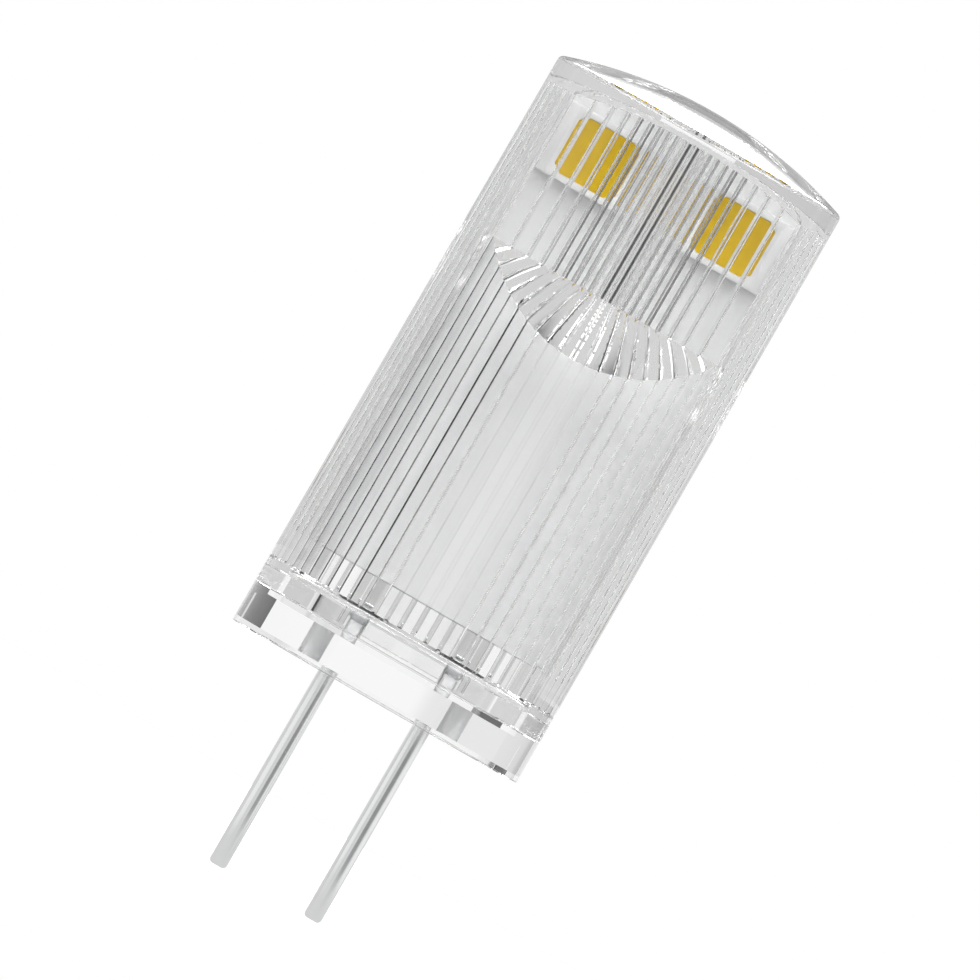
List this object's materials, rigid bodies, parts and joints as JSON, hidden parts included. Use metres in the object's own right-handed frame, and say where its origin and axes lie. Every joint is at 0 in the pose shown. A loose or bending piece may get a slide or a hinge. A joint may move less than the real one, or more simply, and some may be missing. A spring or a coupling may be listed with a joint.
{
  "type": "led capsule bulb",
  "caption": "Clear LED capsule bulb with a G4 two-pin base: fluted domed housing over an upright board with LEDs on both faces.",
  "frame": {"origin": "centre of the base's seat, midway between the contact pins, in the plane of the plug's foot rim", "axes": "+Z along the lamp's axis towards the dome, pins pointing to -Z and spaced along X, front LEDs facing -Y"},
  "size_m": [0.012, 0.012, 0.033],
  "materials": {
    "clear_plastic": "clear polished moulding",
    "pin_metal": "satin tinned wire",
    "white_board": "white solder mask",
    "led_moulding": "white satin moulding",
    "phosphor": "yellow phosphor in clear silicone",
    "solder": "reflowed tin",
    "bus_strip": "dull rolled tin",
    "tinned_lead": "tin plate",
    "black_moulding": "black epoxy",
    "ferrite": "dull ferrite",
    "copper_wire": "enamelled copper",
    "capacitor_ceramic": "fired ceramic",
    "resistor_glaze": "glazed"
  },
  "bodies": {
    "root": {"base_plug": "clear_plastic", "bus_strip_back": "bus_strip", "bus_strip_front": "bus_strip", "choke_core": "ferrite", "choke_winding": "copper_wire", "circuit_board": "white_board", "contact_pin_left": "pin_metal", "contact_pin_right": "pin_metal", "diode_body": "black_moulding", "diode_leads": "tinned_lead", "driver_chip_body": "black_moulding", "driver_chip_leads": "tinned_lead", "housing": "clear_plastic", "input_capacitor_body": "capacitor_ceramic", "input_capacitor_caps": "tinned_lead", "led_body_back_left": "led_moulding", "led_body_back_right": "led_moulding", "led_body_front_left": "led_moulding", "led_body_front_right": "led_moulding", "led_phosphor_back_left": "phosphor", "led_phosphor_back_right": "phosphor", "led_phosphor_front_left": "phosphor", "led_phosphor_front_right": "phosphor", "led_solder_back_left": "solder", "led_solder_back_right": "solder", "led_solder_front_left": "solder", "led_solder_front_right": "solder", "output_capacitor_body": "capacitor_ceramic", "output_capacitor_caps": "tinned_lead", "pin_solder_left": "solder", "pin_solder_right": "solder", "rectifier_body": "black_moulding", "rectifier_leads": "tinned_lead", "sense_resistor_1_body": "resistor_glaze", "sense_resistor_1_caps": "tinned_lead", "sense_resistor_2_body": "resistor_glaze", "sense_resistor_2_caps": "tinned_lead"}
  },
  "joints": []
}
